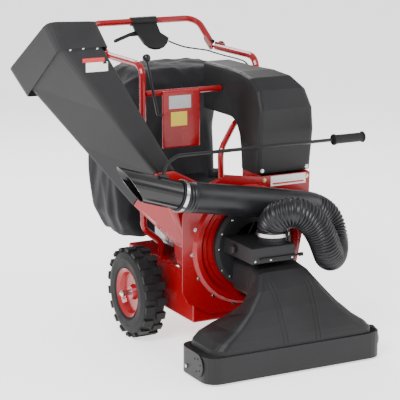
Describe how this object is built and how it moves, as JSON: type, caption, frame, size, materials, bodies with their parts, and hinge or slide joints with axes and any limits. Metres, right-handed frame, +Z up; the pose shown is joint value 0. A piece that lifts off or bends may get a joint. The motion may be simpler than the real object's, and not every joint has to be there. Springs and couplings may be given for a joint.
{
  "type": "leaf vacuum mulcher",
  "caption": "Walk-behind leaf vacuum mulcher with ground nozzle, branch hopper, hose wand, impeller housing and rear debris bag.",
  "frame": {"origin": "centre of the bottom of the bounding box, on the ground", "axes": "+Z up, -Y is the way the machine drives, +X is its left-hand side"},
  "size_m": [1.2012, 1.261, 1.2208],
  "materials": {
    "red_paint": "gloss",
    "black_plastic": "fine grain",
    "gloss_black": "polished",
    "black_steel": "satin",
    "rubber": "matte",
    "tyre_rubber": "matte",
    "hose_plastic": "satin",
    "bag_fabric": "woven",
    "bright_steel": "bright",
    "cast_aluminium": "cast"
  },
  "bodies": {
    "machine": {"chassis_pan": "red_paint", "gearbox": "cast_aluminium", "engine_block": "cast_aluminium", "cylinder_head": "cast_aluminium", "recoil_housing": "black_steel", "fuel_tank": "black_steel", "air_filter": "black_plastic", "muffler": "bright_steel", "drive_belt": "rubber", "handle_upright_right": "red_paint", "handle_upright_left": "red_paint", "cross_tube": "red_paint", "housing_scroll": "red_paint", "housing_cover": "red_paint", "intake_plate": "black_plastic", "nozzle_body": "black_plastic", "nozzle_skirt": "black_plastic", "nozzle_axle": "bright_steel", "height_plate_right": "black_plastic", "height_plate_left": "black_plastic", "hose_inlet": "black_plastic", "retaining_rod": "black_steel", "hose_collar": "black_plastic", "hose": "hose_plastic", "hose_clamp_inlet": "bright_steel", "hose_clamp_wand": "bright_steel", "wand_tube": "gloss_black", "wand_rod": "black_steel", "wand_grip": "rubber", "hopper_chute": "black_plastic", "hopper_hood": "black_plastic", "hopper_base": "red_paint", "discharge_elbow": "black_plastic", "bag_collar": "black_plastic", "bag": "bag_fabric", "control_console": "red_paint", "guard_tube": "red_paint", "drive_cable": "hose_plastic"},
    "wheels": {"drive_axle": "bright_steel", "tyre_right": "tyre_rubber", "tyre_left": "tyre_rubber", "rim_right": "red_paint", "rim_left": "red_paint"},
    "crank": {"crankshaft": "bright_steel", "engine_pulley": "bright_steel", "impeller": "black_steel", "shredder_blade": "bright_steel"},
    "gearbox_input": {"gearbox_pulley": "bright_steel"},
    "roller_right": {"nozzle_roller_right": "rubber"},
    "roller_left": {"nozzle_roller_left": "rubber"},
    "folding_handle": {"upper_handle": "red_paint", "control_panel": "black_plastic"},
    "drive_lever": {"drive_lever": "black_plastic"},
    "gear_lever": {"gear_lever": "black_steel"},
    "recoil_handle": {"recoil_handle": "black_plastic"},
    "fuel_cap": {"fuel_cap": "black_plastic"},
    "latch_knob": {"latch_knob": "black_plastic"},
    "fold_knob_right": {"fold_knob_right": "black_plastic"},
    "fold_knob_left": {"fold_knob_left": "black_plastic"}
  },
  "joints": [
    {"name": "wheels_spin", "type": "hinge", "parent": "machine", "child": "wheels", "pos_m": [0.1426, 0.0255, 0.1675], "axis": [1, 0, 0], "continuous": true},
    {"name": "crank_spin", "type": "hinge", "parent": "machine", "child": "crank", "pos_m": [0.1876, -0.1545, 0.385], "axis": [0, 1, 0], "continuous": true},
    {"name": "gearbox_input_spin", "type": "hinge", "parent": "machine", "child": "gearbox_input", "pos_m": [0.1876, -0.0915, 0.205], "axis": [0, 1, 0], "continuous": true},
    {"name": "roller_right_spin", "type": "hinge", "parent": "machine", "child": "roller_right", "pos_m": [-0.1334, -0.4745, 0.036], "axis": [1, 0, 0], "continuous": true},
    {"name": "roller_left_spin", "type": "hinge", "parent": "machine", "child": "roller_left", "pos_m": [0.5026, -0.4745, 0.036], "axis": [1, 0, 0], "continuous": true},
    {"name": "handle_fold", "type": "hinge", "parent": "machine", "child": "folding_handle", "pos_m": [0.1426, 0.3505, 1.01], "axis": [1, 0, 0], "range_deg": [0, 80]},
    {"name": "drive_lever_squeeze", "type": "hinge", "parent": "folding_handle", "child": "drive_lever", "pos_m": [0.1176, 0.46822, 1.06449], "axis": [0, 0.6896, -0.7242], "range_deg": [0, 18], "stiffness_Nm_per_rad": 0.5, "springref_deg": -8.59},
    {"name": "gear_lever_shift", "type": "hinge", "parent": "machine", "child": "gear_lever", "pos_m": [-0.0227, -0.0005, 0.825], "axis": [1, 0, 0], "range_deg": [-6, 18]},
    {"name": "recoil_pull", "type": "slide", "parent": "machine", "child": "recoil_handle", "axis": [0, 0, 1], "range_m": [0, 0.33], "stiffness_N_per_m": 15, "springref_m": -0.2},
    {"name": "fuel_cap_turn", "type": "hinge", "parent": "machine", "child": "fuel_cap", "pos_m": [0.2326, 0.0655, 0.577], "axis": [0, 0, 1], "continuous": true},
    {"name": "latch_knob_turn", "type": "hinge", "parent": "machine", "child": "latch_knob", "pos_m": [0.0546, -0.3945, 0.405], "axis": [1, 0, 0], "continuous": true},
    {"name": "fold_knob_right_turn", "type": "hinge", "parent": "machine", "child": "fold_knob_right", "pos_m": [-0.1049, 0.3505, 1.01], "axis": [1, 0, 0], "continuous": true},
    {"name": "fold_knob_left_turn", "type": "hinge", "parent": "machine", "child": "fold_knob_left", "pos_m": [0.3901, 0.3505, 1.01], "axis": [1, 0, 0], "continuous": true}
  ],
  "couplings": [
    {"joint": "gearbox_input_spin", "follows": "crank_spin", "ratio": 0.654}
  ]
}
